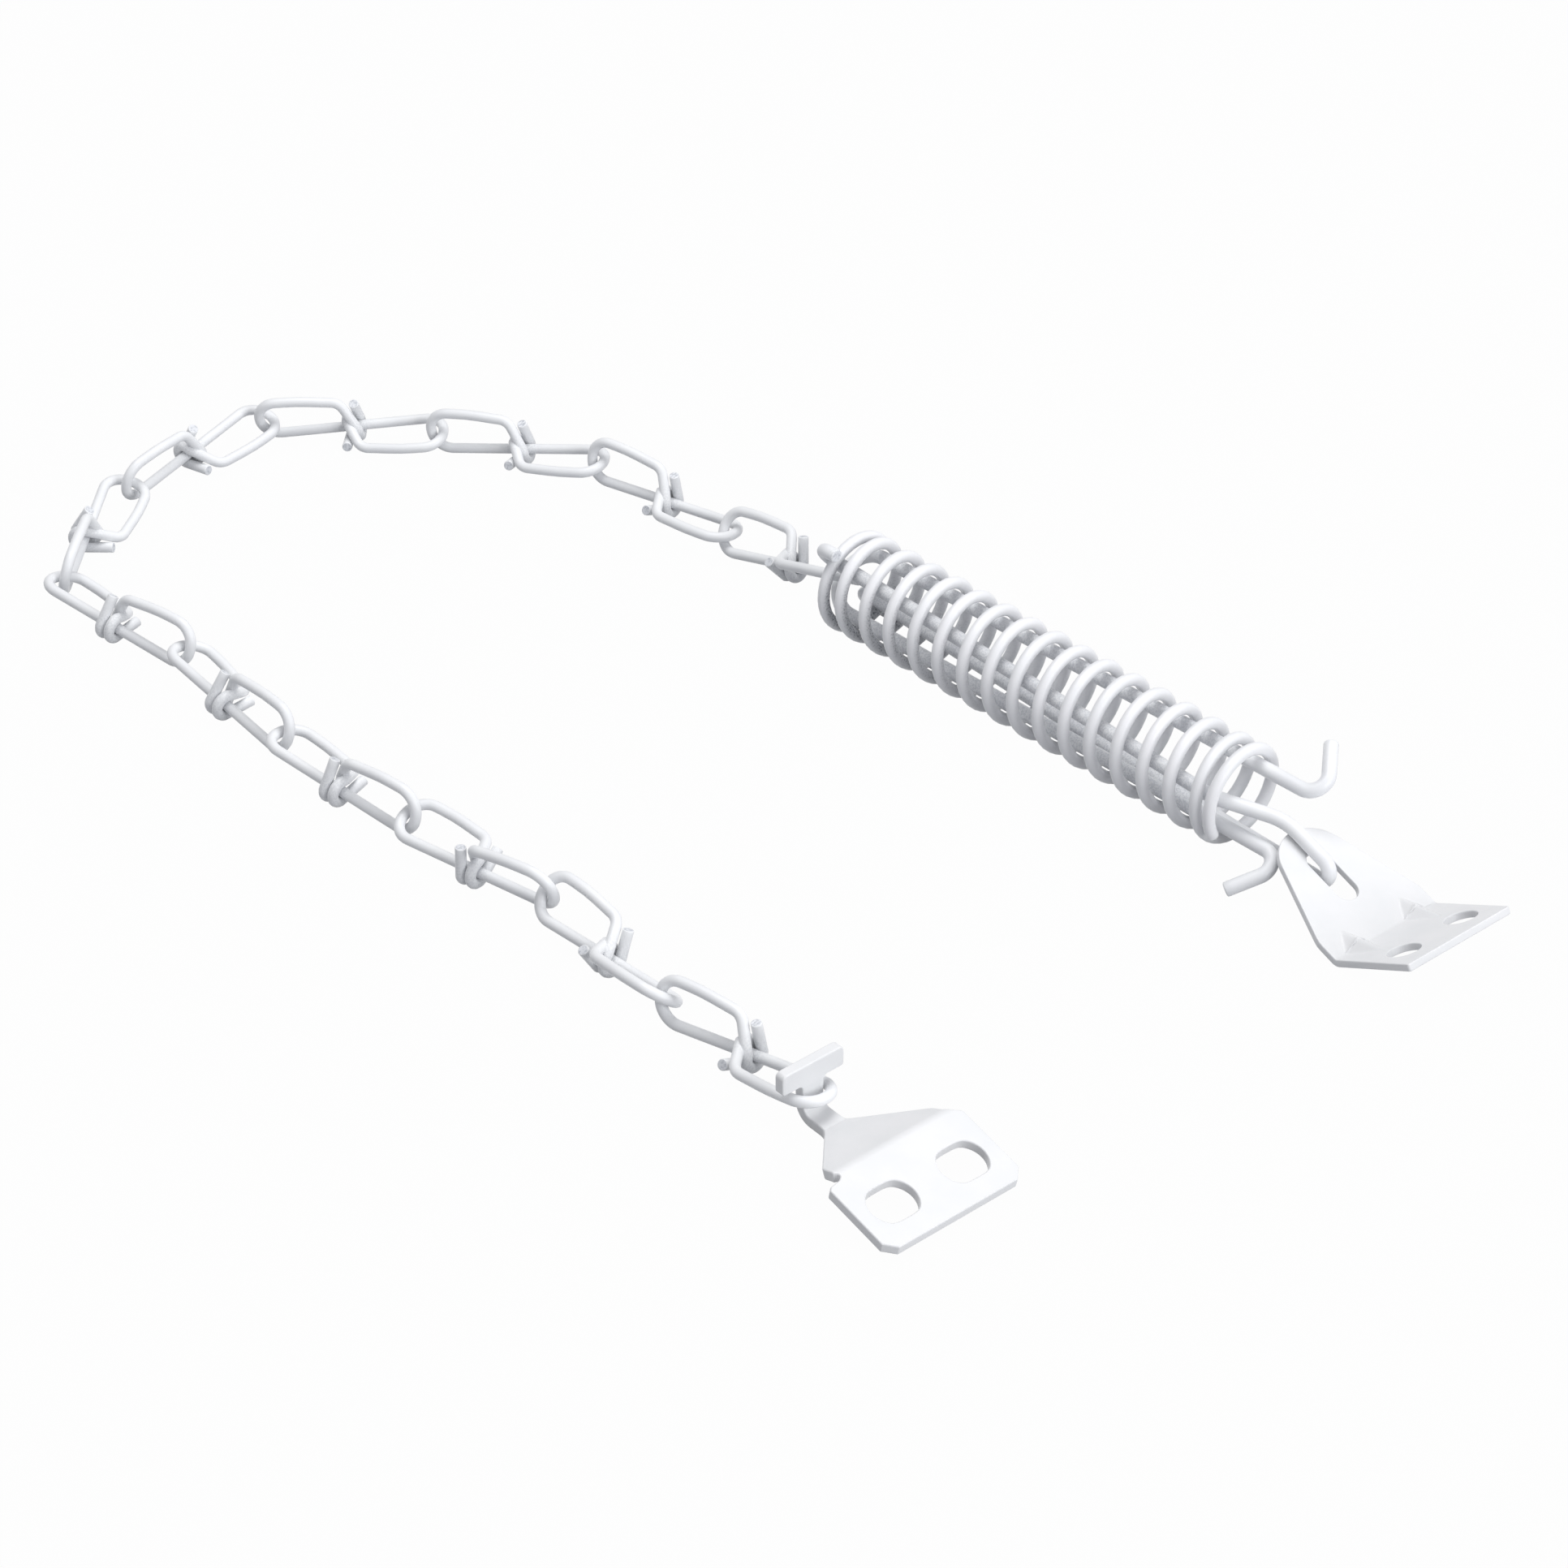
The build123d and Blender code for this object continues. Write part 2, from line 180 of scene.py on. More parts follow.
# the relief beside the fold on the near side
NOTCH_BACK = 1.0          # the base's side starts this far behind the fold
NOTCH_REACH = 0.7         # half its length
NOTCH_DEPTH = 0.9
NOTCH_BOTTOM = 0.5        # radius of its bottom
NOTCH_LIP = 0.2           # its rear end stands out this far past the arm's side
NOTCH_CUT = 0.6           # the base's corner behind it is cut off by this much
NOTCH_CORNER = 0.3
ARM_WIDTH = 23.4
ARM_FILLET = 3.5
NECK_WIDTH = 4.5
NECK_END = 0.4            # the arm starts to spread this far before its bend ends
NECK_FILLET = 0.8
NECK_FLAT = 3.6
NECK_BEND = 2.6
NECK_POST = 4.0
TEE_WIDTH = 13.0
TEE_HEIGHT = 4.0
TEE_CORNER = 1.0
TEE_FOOT = 0.6            # corner radius on the side of the neck
NECK_WIRE_SEAT = 0.9      # the link's end wire lies over the neck's flat, this far from its curl
DOOR_HEADING = -3.3

# Thin film, where a wire was shielded from the powder, with painted shade where it lies in the shade of
# other wires.
# On the coil it grows where the wire faces inwards or forwards,
FILM_SHADE_FACING = 0.2
FILM_SHADE_INWARD = 0.9
FILM_SHADE_FORWARD = 0.8
# on the near and low side of each turn,
FILM_SHADE_SIDE = 0.45
FILM_SHADE_NEAR = 0.4
FILM_SHADE_LOW = 0.6
# and towards the chain end, where it is full; it ends a given length along the coil, but for a least
# share.
FILM_SHADE_END = 45.0
FILM_SHADE_LEAST = 0.04
# The drawbars have it between these distances from the coil's two ends.
LEG_FILM_SHADE = 0.35
LEG_FILM_SHADE_FROM = 2.0
LEG_FILM_SHADE_TO = 6.0
KNOT_FILM_SHADE = 0.5
KNOT_FILM_SHADE_REACH = 4.5     # from the knot's middle

# Patterns of the powder. Grit and shear lines are drawn coarse enough to show.
CLOUD_SIZE = 9.0          # change in film thickness
PEEL_SIZE = 1.5           # orange peel
PEEL_DEPTH = 0.009
GRIT_SIZE = 0.35
BARE_ROUGHER = 0.25       # roughness that bare places add
SHEAR_SIZE = 2.0          # of the wave texture, whose lines lie about a third of this apart
SHEAR_DEPTH = 0.05
BLOT_SIZE = 0.6
BOARD_GRAIN = 4.0         # of the floor


# camera
def place_camera():
    """the photograph's camera, solved over its 1932 x 1932 frame"""
    data = bpy.data.cameras.new("camera")
    data.sensor_width = SENSOR
    data.lens = LENS
    data.clip_start, data.clip_end = 0.02, 20.0
    camera = bpy.data.objects.new("camera", data)
    scene.collection.objects.link(camera)
    tilt = math.radians(TILT)
    ahead = HEADING.normalized() * math.cos(tilt) - Vector((0, 0, math.sin(tilt)))
    camera.location = (EYE + ROW) * MM
    camera.rotation_mode = "QUATERNION"
    camera.rotation_quaternion = ahead.to_track_quat("-Z", "Y")
    scene.camera = camera


place_camera()


# materials
def linear(code):
    """an sRGB hex colour as linear RGBA"""
    shares = [int(code[i:i + 2], 16) / 255 for i in (1, 3, 5)]
    return [c / 12.92 if c <= 0.04045 else ((c + 0.055) / 1.055) ** 2.4 for c in shares] + [1.0]


def add(tree, kind, links=(), **settings):
    """one node with its settings, and its inputs linked or given"""
    node = tree.nodes.new("ShaderNode" + kind)
    for name, value in settings.items():
        setattr(node, name, value)
    for socket, value in dict(links).items():
        if isinstance(value, bpy.types.NodeSocket):
            tree.links.new(value, node.inputs[socket])
        else:
            node.inputs[socket].default_value = value
    return node


def blank(name):
    """a new material with an empty node tree"""
    material = bpy.data.materials.new(name)
    material.use_nodes = True
    material.node_tree.nodes.clear()
    return material, material.node_tree


def powder_coat(name, film, shade, thin, roughness, peel=1.0, painted_shade_share=0.0):
    """Gloss polyester powder, baked on steel, white and thick on open faces. A mask of thin film and
    painted shade lets a grey through in grains and, by a share, as smooth painted shade; the melt leaves
    a low orange peel."""
    material, tree = blank(name)
    place = add(tree, "TexCoord").outputs["Object"]
    # cloudy change in film thickness
    cloud = add(tree, "TexNoise", {"Vector": place, "Scale": 1 / (CLOUD_SIZE * MM),
                                   "Detail": 3.0, "Roughness": 0.55})
    # orange peel
    waves = add(tree, "TexNoise", {"Vector": place, "Scale": 1 / (PEEL_SIZE * MM),
                                   "Detail": 2.0, "Roughness": 0.5})
    # grit under the film
    grit = add(tree, "TexNoise", {"Vector": place, "Scale": 1 / (GRIT_SIZE * MM),
                                  "Detail": 2.0, "Roughness": 0.6})
    film_shade_mask = add(tree, "Attribute", attribute_name="film_shade_mask", attribute_type="GEOMETRY")
    film_tone = add(tree, "MapRange", {"Value": cloud.outputs["Fac"], "From Min": 0.35, "From Max": 0.7})
    open_film = add(tree, "Mix", {"Factor": film_tone.outputs["Result"], "A": linear(film),
                                  "B": linear(shade)}, data_type="RGBA")
    # speckle: where the mask is high the steel's grey shows through in fine grains, partly thin film and
    # partly painted shade
    grains = add(tree, "MapRange", {"Value": grit.outputs["Fac"], "From Min": 0.42, "From Max": 0.62})
    cover = add(tree, "Math", {0: grains.outputs["Result"], 1: film_shade_mask.outputs["Fac"]},
                operation="MULTIPLY")
    # painted shade: a share of the mask darkens the coat smoothly towards the thin grey
    painted_shade_veil = add(tree, "Math", {0: film_shade_mask.outputs["Fac"], 1: painted_shade_share}, operation="MULTIPLY")
    # speckle and painted shade together, which also add roughness
    bare_and_shade = add(tree, "Math", {0: cover.outputs[0], 1: painted_shade_veil.outputs[0]},
               operation="MAXIMUM", use_clamp=True)
    tone = add(tree, "Mix", {"Factor": bare_and_shade.outputs[0], "A": open_film.outputs["Result"],
                             "B": linear(thin)}, data_type="RGBA")
    dull = add(tree, "MapRange", {"Value": waves.outputs["Fac"], "From Min": 0.3, "From Max": 0.7,
                                  "To Min": roughness - 0.04, "To Max": roughness + 0.05})
    rough = add(tree, "Math", {0: bare_and_shade.outputs[0], 1: BARE_ROUGHER, 2: dull.outputs["Result"]},
                operation="MULTIPLY_ADD")
    skin = add(tree, "Bump", {"Height": waves.outputs["Fac"], "Distance": PEEL_DEPTH * MM * peel,
                              "Strength": 1.0})
    surface = add(tree, "BsdfPrincipled", {
        "Base Color": tone.outputs["Result"], "Roughness": rough.outputs[0],
        "Normal": skin.outputs["Normal"], "IOR": 1.5, "Metallic": 0.0, "Specular IOR Level": 0.35})
    add(tree, "OutputMaterial", {"Surface": surface.outputs["BSDF"]})
    return material


def sheared_end(name, film, steel):
    """A cropped wire end under the same powder: shear lines across it, and a ragged thin film."""
    material, tree = blank(name)
    place = add(tree, "TexCoord").outputs["Object"]
    lines = add(tree, "TexWave", {"Vector": place, "Scale": 1 / (SHEAR_SIZE * MM), "Distortion": 3.0,
                                  "Detail": 2.0, "Detail Scale": 2.0})
    blots = add(tree, "TexNoise", {"Vector": place, "Scale": 1 / (BLOT_SIZE * MM), "Detail": 3.0})
    worn = add(tree, "MapRange", {"Value": blots.outputs["Fac"], "From Min": 0.45, "From Max": 0.75})
    tone = add(tree, "Mix", {"Factor": worn.outputs["Result"], "A": linear(film),
                             "B": linear(steel)}, data_type="RGBA")
    skin = add(tree, "Bump", {"Height": lines.outputs["Fac"], "Distance": SHEAR_DEPTH * MM,
                              "Strength": 1.0})
    surface = add(tree, "BsdfPrincipled", {"Base Color": tone.outputs["Result"], "Roughness": 0.45,
                                           "Normal": skin.outputs["Normal"], "IOR": 1.5})
    add(tree, "OutputMaterial", {"Surface": surface.outputs["BSDF"]})
    return material


chain_coat = powder_coat("gloss_powder_on_chain_wire", "#F4F5F6", "#EFF0F2", "#A9AEB6", 0.36)
drawbar_coat = powder_coat("gloss_powder_on_drawbar_wire", "#F4F5F6", "#EDEEF1", "#A3A9B2", 0.34)
# on the spring the dark grey and its share are painted shade inside the coil and on the near, low side of
# its turns
spring_coat = powder_coat("gloss_powder_on_spring_wire", "#F5F5F7", "#EFF0F2", "#4C525B", 0.34,
                          painted_shade_share=0.45)
sheet_coat = powder_coat("gloss_powder_on_sheet_steel", "#EEEEEF", "#E9EAEB", "#C4C8CF", 0.32, peel=0.6)
end_coat = sheared_end("powder_on_sheared_wire_end", "#E6E8EC", "#B4B8BF")


# bent wire
def rounded(points, radii, step=BEND_STEP):
    """a wire's corners opened into arcs"""
    path = [points[0]]
    for before, corner, after, radius in zip(points, points[1:], points[2:], radii):
        back = (before - corner).normalized()
        ahead = (after - corner).normalized()
        turn = 180 - math.degrees(back.angle(ahead))
        centre = corner + (back + ahead).normalized() * (radius / math.cos(math.radians(turn / 2)))
        start = corner + back * (radius * math.tan(math.radians(turn / 2))) - centre
        steps = max(2, math.ceil(turn / step))
        for i in range(steps + 1):
            a = math.radians(turn * i / steps)
            path.append(centre + start * math.cos(a) - back * (radius * math.sin(a)))
    return path + [points[-1]]


def loop_points():
    """from the knot's middle out round the standing loop, down into its wrap and up its sheared stub"""
    wrap_place = WRAP_RADIUS / 2
    path = rounded([
        Vector((0, 0, 0)),
        Vector((LOOP_LENGTH, 0, 0)),
        Vector((LOOP_LENGTH, 0, LOOP_WIDTH)),
        Vector(((LOOP_LENGTH + KNOT_REACH) / 2, 0, (LOOP_WIDTH + KNOT_WIDTH) / 2 + ARM_BOW)),
        Vector((KNOT_REACH, 0, KNOT_WIDTH)),
        Vector((-wrap_place, WRAP_RADIUS, CHAIN_WIRE / 2)),
    ], [END_BEND, END_BEND, ARM_BOW_BEND, KNOT_BEND])
    steps = math.ceil(180 / BEND_STEP)
    for i in range(steps + 1):
        a = math.radians(-180 * i / steps)
        path.append(Vector((-wrap_place, WRAP_RADIUS * math.cos(a), WRAP_RADIUS * math.sin(a))))
    path.append(Vector((-wrap_place, STUB_LEAN - WRAP_RADIUS, STUB_HEIGHT)))
    return path


# the second loop is the same one turned over and laid at right angles
standing = loop_points()
lying = [Vector((-p.x, p.z, p.y)) for p in standing]
link_path = lying[:0:-1] + standing[1:]


def advance(turns):
    """way along the axis after so many turns from an end, where the turns lie close"""
    opened = max(0.0, min(turns, END_TURNS + RAMP_TURNS) - END_TURNS)
    past = max(0.0, turns - END_TURNS - RAMP_TURNS)
    return END_PITCH * turns + (COIL_PITCH - END_PITCH) * (opened ** 2 / (2 * RAMP_TURNS) + past)


COIL_LENGTH = 2 * advance(COIL_TURNS / 2)
LEG_RADIUS = COIL_RADIUS - SPRING_WIRE / 2 - DRAWBAR_WIRE / 2 - LEG_GAP
HOOK_RADIUS = COIL_RADIUS - LEG_RADIUS
AXIS_HEIGHT = ((COIL_RADIUS + HOOK_RADIUS) * math.sin(math.radians(HOOK_PLANE))
               + DRAWBAR_WIRE / 2 + FLOOR_GAP)


def ring(x, radius, direction):
    """a point round the spring's axis"""
    a = math.radians(direction)
    return Vector((x, radius * math.cos(a), AXIS_HEIGHT + radius * math.sin(a)))


def coil_point(turns):
    """the coil's centre line, the same from both ends"""
    x = advance(turns) if turns < COIL_TURNS / 2 else COIL_LENGTH - advance(COIL_TURNS - turns)
    return ring(x, COIL_RADIUS, COIL_START + 360 * turns)


def resampled(path, spacing):
    """points added along long straight runs, so that a wire's rings stay close"""
    out = [path[0]]
    for a, b in zip(path, path[1:]):
        steps = max(1, round((b - a).length / spacing))
        out += [a.lerp(b, (i + 1) / steps) for i in range(steps)]
    return out


def wire(name, path, diameter, edge, coat, sides=16, film_shade_mask=None, place=Matrix()):
    """round coated wire with its two sheared ends; the mask function gives the share of thin film and
    painted shade at a point, from the point and the way out of the wire there"""
    path = [p for i, p in enumerate(path) if i == 0 or (p - path[i - 1]).length > SAME_POINT]
    ways = [(b - a).normalized() for a, b in zip(path, path[1:])]
    tangents = [ways[0]] + [(a + b).normalized() for a, b in zip(ways, ways[1:])] + [ways[-1]]
    radius = diameter / 2

    def rolled(end, inward):
        """rings from the sheared face to the full radius, each as centre, tangent and radius"""
        return [(path[end] + inward * edge * way, tangents[end], radius - edge * back)
                for way, back in EDGE_RINGS]

    middle = [(p, t, radius) for p, t in zip(path[1:-1], tangents[1:-1])]
    rows = rolled(0, tangents[0]) + middle + rolled(-1, -tangents[-1])[::-1]
    mesh = bpy.data.meshes.new(name)
    form = bmesh.new()
    tone = form.verts.layers.float.new("film_shade_mask")
    across = tangents[0].orthogonal().normalized()
    loops = []
    for point, tangent, size in rows:
        across = (across - tangent * across.dot(tangent)).normalized()
        beside = tangent.cross(across)
        loop = []
        for i in range(sides):
            a = 2 * math.pi * i / sides
            out = across * math.cos(a) + beside * math.sin(a)
            vert = form.verts.new((place @ (point + out * size) + ROW) * MM)
            vert[tone] = film_shade_mask(point, out) if film_shade_mask else 0.0
            loop.append(vert)
        loops.append(loop)
    for before, after in zip(loops, loops[1:]):
        for i in range(sides):
            form.faces.new((before[i], before[i - 1], after[i - 1], after[i]))
    for loop in (loops[0], loops[-1][::-1]):
        form.faces.new(loop).material_index = 1
    bmesh.ops.recalc_face_normals(form, faces=form.faces)
    for face in form.faces:
        face.smooth = face.material_index == 0
    form.to_mesh(mesh)
    form.free()
    mesh.materials.append(coat)
    mesh.materials.append(end_coat)
    piece = bpy.data.objects.new(name, mesh)
    scene.collection.objects.link(piece)
    return piece


def fit(piece, body, node):
    """rides on a body and stands for a CAD node, whose part it hides"""
    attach(piece, body)
    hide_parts(node)


def share(value):
    """a value held between none and all"""
    return max(0.0, min(1.0, value))


def coil_film_and_shade(point, out):
    """thin film and painted shade where the turns shield and shade each other inside, darker on their
    near and low side, most low down at the chain end
    """
    arm = (point - Vector((point.x, 0, AXIS_HEIGHT))).normalized()
    facing = share(FILM_SHADE_FACING - FILM_SHADE_INWARD * out.dot(arm) + FILM_SHADE_FORWARD * out.x)
    low = share(FILM_SHADE_SIDE - FILM_SHADE_NEAR * arm.y - FILM_SHADE_LOW * arm.z)
    end = share(1 - point.x / FILM_SHADE_END)
    return facing * (FILM_SHADE_LEAST + (1 - FILM_SHADE_LEAST) * end * low)


coil_steps = round(COIL_TURNS * STEPS_A_TURN)
spring = wire("spring_coil", [coil_point(COIL_TURNS * i / coil_steps) for i in range(coil_steps + 1)],
              SPRING_WIRE, SPRING_EDGE, spring_coat, film_shade_mask=coil_film_and_shade)
fit(spring, "spring_unit", "spring")

# the jamb bracket's bend, from which its plate and the bracket drawbar's hairpin are placed
HAIRPIN_RADIUS = (DRAWBAR_WIRE + HAIRPIN_GAP) / 2
JAMB_X = COIL_LENGTH + HAIRPIN_REACH + HAIRPIN_SEAT * math.cos(math.radians(JAMB_PLATE_RISE))
jamb_place = (Matrix.Translation((JAMB_X, JAMB_SIDE, JAMB_SHEET / 2))
              @ Matrix.Rotation(math.radians(JAMB_HEADING), 4, "Z"))


def folded(runs, along, height):
    """a point of a folded sheet in its X-Z plane, from runs of (length, turn)"""
    x = z = angle = 0.0
    for length, turn in runs:
        part = min(along, length)
        if turn:
            radius = length / abs(math.radians(turn))
            side = math.copysign(1, turn)
            sweep = math.radians(turn) * part / length
            cx, cz = x - side * radius * math.sin(angle), z + side * radius * math.cos(angle)
            angle += sweep
            x, z = cx + side * radius * math.sin(angle), cz - side * radius * math.cos(angle)
        else:
            x, z = x + part * math.cos(angle), z + part * math.sin(angle)
        along -= part
        if along <= 0:
            break
    return x - height * math.sin(angle), z + height * math.cos(angle)


def bend_run(radius, turn):
    """a fold's length and turn"""
    return radius * abs(math.radians(turn)), turn


jamb_flange_runs = [bend_run(JAMB_BEND, JAMB_FLANGE_RISE), (JAMB_FLANGE, 0)]
jamb_plate_runs = [bend_run(JAMB_BEND, JAMB_PLATE_RISE), (JAMB_PLATE + PLATE_BEYOND, 0)]


def on_plate(past, height):
    """a point of the row beside the jamb bracket's plate, from its bend"""
    x, z = folded(jamb_plate_runs, past, height)
    return jamb_place @ Vector((-x, -HAIRPIN_SIDE, z))


def half_circle(point, steps=round(180 / BEND_STEP)):
    """points of a half turn, from a function of its angle"""
    return [point(math.pi * i / steps) for i in range(steps + 1)]


def inner_hook(direction):
    """from the sheared tip round the spring's first turn to the start of the leg"""
    x = coil_point((HOOK_PLANE - COIL_START) / 360).x
    arc = half_circle(lambda a: ring(x - HOOK_RADIUS * math.sin(a),
                                     COIL_RADIUS + HOOK_RADIUS * math.cos(a), direction))
    return [ring(x + HOOK_TAIL, COIL_RADIUS + HOOK_RADIUS, direction)] + arc


nose = half_circle(lambda a: on_plate(HAIRPIN_SEAT + HAIRPIN_RADIUS * (1 - math.sin(a)),
                                      HAIRPIN_RADIUS * math.cos(a)))
upper_leg = rounded([
    inner_hook(HOOK_PLANE)[-1],
    ring(COIL_LENGTH - SPRING_WIRE, LEG_RADIUS, LEG_LEAN),
    on_plate(JAMB_PLATE + HAIRPIN_TAIL, HAIRPIN_RADIUS),
    nose[0],
], [LEG_BEND, LEG_BEND])
lower_leg = rounded([
    inner_hook(HOOK_PLANE + 180)[-1],
    ring(COIL_LENGTH - SPRING_WIRE, LEG_RADIUS, FOOT_LEAN),
    nose[-1],
], [LEG_BEND])
bracket_side_path = (inner_hook(HOOK_PLANE) + upper_leg[1:-1] + nose + lower_leg[-2:0:-1]
                     + inner_hook(HOOK_PLANE + 180)[::-1])


def leg_film_and_shade(point, out):
    """inside the spring the legs get grains of thin film, which also paint the shade of its turns"""
    return LEG_FILM_SHADE if LEG_FILM_SHADE_FROM < point.x < COIL_LENGTH - LEG_FILM_SHADE_TO else 0.0


bracket_side = wire("jamb_side_drawbar", resampled(bracket_side_path, DRAWBAR_SPACING), DRAWBAR_WIRE,
                    DRAWBAR_EDGE, drawbar_coat, sides=20, film_shade_mask=leg_film_and_shade)
fit(bracket_side, "spring_unit", "drawbar_bracket_side")


def chain_hook(side):
    """from the sheared tip to the corner of the leg"""
    corner = ring(COIL_LENGTH + HOOK_OVERHANG, side * LEG_RADIUS, CHAIN_LEG_PLANE)
    a = math.radians(HOOK_WAY)
    out = Vector((-HOOK_BACK, side * HOOK_LENGTH * math.cos(a), side * HOOK_LENGTH * math.sin(a)))
    return [corner + out, corner]


mouth_loop = half_circle(lambda a: ring(LEG_RADIUS - CHAIN_LOOP_OUT - LEG_RADIUS * math.sin(a),
                                        LEG_RADIUS * math.cos(a), CHAIN_LEG_PLANE))
upper_side = rounded(chain_hook(1) + [mouth_loop[0]], [HOOK_BEND])
lower_side = rounded(chain_hook(-1) + [mouth_loop[-1]], [HOOK_BEND])
chain_side_path = upper_side[:-1] + mouth_loop + lower_side[-2::-1]
chain_side = wire("chain_side_drawbar", resampled(chain_side_path, DRAWBAR_SPACING), DRAWBAR_WIRE,
                  DRAWBAR_EDGE, drawbar_coat, sides=20, film_shade_mask=leg_film_and_shade)
fit(chain_side, "chain_drawbar", "drawbar_chain_side")


# the chain
def lay_chain():
    """place of each link, hung on the one before and let down to the floor"""
    wrap_rest = WRAP_RADIUS + CHAIN_WIRE / 2 + FLOOR_GAP
    middle = ring(-CHAIN_LOOP_OUT, 0, 0)
    anchor_way = ring(-CHAIN_LOOP_OUT, 1, CHAIN_LEG_PLANE) - middle
    reach = (CHAIN_WIRE + DRAWBAR_WIRE) / 2 + HANG_GAP
    places = []
    for number, (heading, roll, rise) in enumerate(LAY):
        anchor = middle + anchor_way * rise
        # the last link's end lies on the door bracket's neck
        end_rest = (DOOR_SHEET + HANG_GAP if number == len(LAY) - 1 else FLOOR_GAP) + CHAIN_WIRE / 2
        pitch = 0.0
        for _ in range(LAY_ROUNDS):
            turned = (Matrix.Rotation(math.radians(heading), 4, "Z") @ Matrix.Rotation(pitch, 4, "Y")
                      @ Matrix.Rotation(math.radians(-roll), 4, "X"))
            normal = anchor_way.cross(turned @ Vector((0, 1, 0))).normalized()
            normal *= math.copysign(1, normal.dot(turned @ Vector((1, 0, 0))))
            centre = anchor - normal * reach - turned @ Vector((-LOOP_LENGTH, LOOP_WIDTH / 2, 0))
            knot_over = (centre.z - wrap_rest) / LOOP_LENGTH
            end_over = centre.z + (turned @ Vector((LOOP_LENGTH, 0, 0))).z - end_rest
            fall = min(LAY_STEEPEST, knot_over, end_over / (2 * LOOP_LENGTH))
            pitch += math.asin(max(-LAY_STEEPEST, fall))
        place = Matrix.Translation(centre) @ turned
        places.append(place)
        middle = place @ Vector((LOOP_LENGTH, 0, LOOP_WIDTH / 2))
        anchor_way = place @ Vector((LOOP_LENGTH, 0, LOOP_WIDTH / 2 + 1)) - middle
        reach = CHAIN_WIRE + HANG_GAP
    return places


def knot_film_and_shade(point, out):
    """grains of thin film at the knot, which also paint the shade where the crossing wires shade each
    other
    """
    return KNOT_FILM_SHADE * max(0.0, 1 - point.length / KNOT_FILM_SHADE_REACH)


link_places = lay_chain()
for number, place in enumerate(link_places, 1):
    link = wire(f"chain_link_{number}", resampled(link_path, CHAIN_SPACING), CHAIN_WIRE, CHAIN_EDGE,
                chain_coat, sides=14, film_shade_mask=knot_film_and_shade, place=place)
    fit(link, f"link_{number}", f"link_{number}")


# sheet metal
def softened(corners, radii, step=15):
    """a closed outline with its corners opened into arcs; a radius of 0 leaves the corner"""
    out = []
    count = len(corners)
    for i, (corner, radius) in enumerate(zip(corners, radii)):
        corner = Vector((*corner, 0))
        if not radius:
            out.append(corner)
            continue
        before, after = Vector((*corners[i - 1], 0)), Vector((*corners[(i + 1) % count], 0))
        out += rounded([before, corner, after], [radius], step)[1:-1]
    return out


def circle(x, y, radius, steps=40):
    """a round hole"""
    return [Vector((x + radius * math.cos(2 * math.pi * i / steps),
                    y + radius * math.sin(2 * math.pi * i / steps), 0)) for i in range(steps)]


def slot(x, y, length, width, steps=16):
    """an obround hole along the sheet"""
    out = []
    for end in (1, -1):
        for i in range(steps + 1):
            a = math.radians(90 * (1 - end) - 90 + 180 * i / steps)
            out.append(Vector((x + end * (length - width) / 2 + width / 2 * math.cos(a),
                               y + width / 2 * math.sin(a), 0)))
    return out


def flatted_hole(x, y, diameter, width, steps=56, blend=14):
    """a round hole with a flat at its front and its back; a higher blend has sharper corners"""
    out = []
    for i in range(steps):
        a = 2 * math.pi * i / steps
        reach = ((2 / diameter) ** blend + (2 * abs(math.cos(a)) / width) ** blend) ** (-1 / blend)
        out.append(Vector((x + reach * math.cos(a), y + reach * math.sin(a), 0)))
    return out


def pressed_sheet(name, outlines, sheet, edge, cuts, shape, coat):
    """A blanked and folded sheet. The outline and its holes are filled with rounded edges and cut at
    the places in cuts, and each point is moved to where shape(along, across, height) says."""
    curve = bpy.data.curves.new(name, "CURVE")
    curve.dimensions = "2D"
    curve.fill_mode = "BOTH"
    curve.extrude = sheet / 2 - edge
    curve.bevel_depth = edge
    curve.bevel_resolution = 3
    curve.offset = -edge
    for outline in outlines:
        spline = curve.splines.new("POLY")
        spline.points.add(len(outline) - 1)
        for target, point in zip(spline.points, outline):
            target.co = (*point, 1)
        spline.use_cyclic_u = True
    source = bpy.data.objects.new(name, curve)
    scene.collection.objects.link(source)
    bpy.context.view_layer.update()
    mesh = bpy.data.meshes.new_from_object(source.evaluated_get(bpy.context.evaluated_depsgraph_get()))
    bpy.data.objects.remove(source)
    bpy.data.curves.remove(curve)
    form = bmesh.new()
    form.from_mesh(mesh)
    bmesh.ops.remove_doubles(form, verts=form.verts, dist=0.002)
    for axis, values in enumerate(cuts):
        for value in values:
            normal = Vector((1, 0, 0)) if axis == 0 else Vector((0, 1, 0))
            bmesh.ops.bisect_plane(form, geom=form.verts[:] + form.edges[:] + form.faces[:], dist=0.0005,
                                   plane_co=normal * value, plane_no=normal)
    for vert in form.verts:
        vert.co = (shape(*vert.co) + ROW) * MM
    bmesh.ops.recalc_face_normals(form, faces=form.faces)
    for face in form.faces:
        face.smooth = True
    form.to_mesh(mesh)
    form.free()
    mesh.name = name
    mesh.materials.clear()
    mesh.materials.append(coat)
    piece = bpy.data.objects.new(name, mesh)
    scene.collection.objects.link(piece)
    normals = piece.modifiers.new("even_normals", "WEIGHTED_NORMAL")
    normals.weight = 100
    normals.keep_sharp = True
    return piece


def spread(low, high, count):
    """evenly spaced places from low to high"""
    return [low + (high - low) * i / count for i in range(count + 1)]


def jamb_shape(along, across, height):
    """along is above 0 on the flange and below 0 on the plate; two darts are pressed over the bend"""
    off = abs(abs(across) - DARTS_APART / 2)
    off = (math.hypot(off, DART_SOFT) - DART_SOFT) / DART_HALF
    dart = DART_HEIGHT * max(0.0, 1 - off - (along / DART_FLANGE if along > 0 else -along / DART_PLATE))
    runs = jamb_flange_runs if along > 0 else jamb_plate_runs
    x, z = folded(runs, abs(along), height + dart)
    return jamb_place @ Vector((math.copysign(x, along), across, z))


